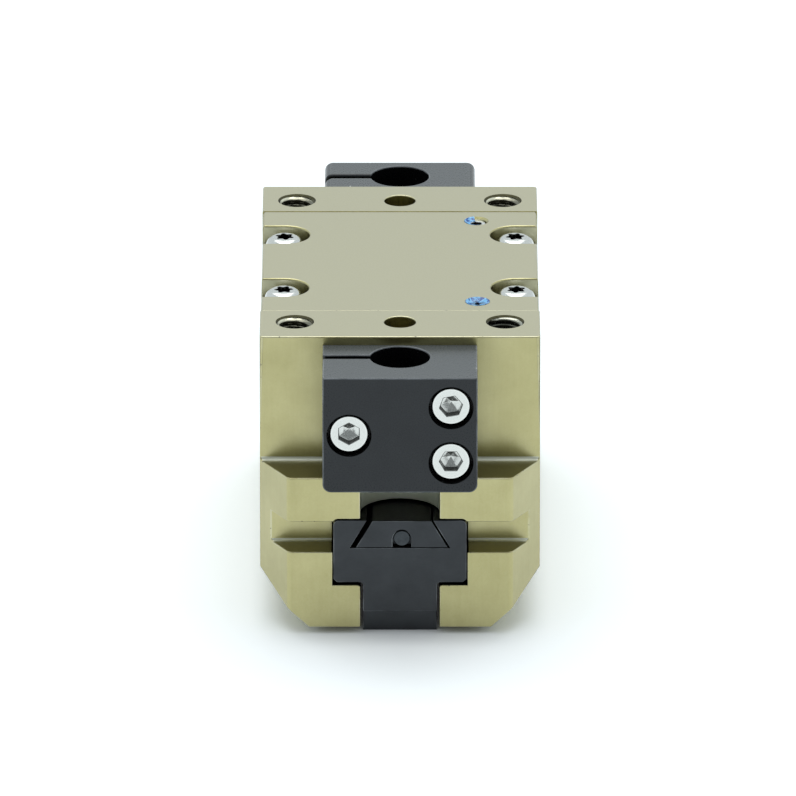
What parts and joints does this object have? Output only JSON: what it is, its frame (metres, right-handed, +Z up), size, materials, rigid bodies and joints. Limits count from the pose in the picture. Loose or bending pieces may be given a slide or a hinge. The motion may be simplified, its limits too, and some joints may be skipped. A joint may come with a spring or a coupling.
{
  "type": "parallel gripper",
  "caption": "Pneumatic parallel gripper: a stepped aluminium body with T-slot jaws driven by a piston and wedge hook, and a slit sensor clamp on each end.",
  "frame": {"origin": "centre of the bounding box on the plane of the fingers' seats, which the gripper stands on", "axes": "+Z up to the mounting face, +Y along the jaws' travel, +X across the body"},
  "size_m": [0.04, 0.089, 0.0426],
  "materials": {
    "anodised_body": "hard anodised, olive champagne, fine satin",
    "bracket_aluminium": "black anodised, satin",
    "jaw_steel": "black hardened steel, ground",
    "wedge_steel": "hardened steel, ground",
    "piston_aluminium": "turned aluminium",
    "screw_steel": "bright stainless steel",
    "dark_screw_steel": "black oxide",
    "plug_steel": "steel with blue thread sealant",
    "seal_rubber": "black nitrile rubber"
  },
  "bodies": {
    "body": {"housing": "anodised_body", "cover_plate": "anodised_body", "cover_seal": "seal_rubber", "rod_seal": "seal_rubber", "cover_screws": "screw_steel", "port_plug_front": "plug_steel", "port_plug_rear": "plug_steel", "bracket_front": "bracket_aluminium", "bracket_rear": "bracket_aluminium", "bracket_screws_front": "screw_steel", "bracket_screws_rear": "screw_steel", "clamp_screw_front": "screw_steel", "clamp_screw_rear": "screw_steel"},
    "piston_unit": {"piston": "piston_aluminium", "piston_seal": "seal_rubber", "wedge_hook": "wedge_steel", "wedge_screw": "screw_steel"},
    "front_jaw": {"jaw_front": "jaw_steel", "cam_front": "jaw_steel", "cam_screw_front": "dark_screw_steel"},
    "rear_jaw": {"jaw_rear": "jaw_steel", "cam_rear": "jaw_steel", "cam_screw_rear": "dark_screw_steel"}
  },
  "joints": [
    {"name": "piston_slide", "type": "slide", "parent": "body", "child": "piston_unit", "axis": [0, 0, 1], "range_m": [0, 0.008]},
    {"name": "front_jaw_slide", "type": "slide", "parent": "body", "child": "front_jaw", "axis": [0, 1, 0], "range_m": [0, 0.006]},
    {"name": "rear_jaw_slide", "type": "slide", "parent": "body", "child": "rear_jaw", "axis": [0, -1, 0], "range_m": [0, 0.006]}
  ],
  "couplings": [
    {"joint": "front_jaw_slide", "follows": "piston_slide", "ratio": 0.75},
    {"joint": "rear_jaw_slide", "follows": "piston_slide", "ratio": 0.75}
  ]
}
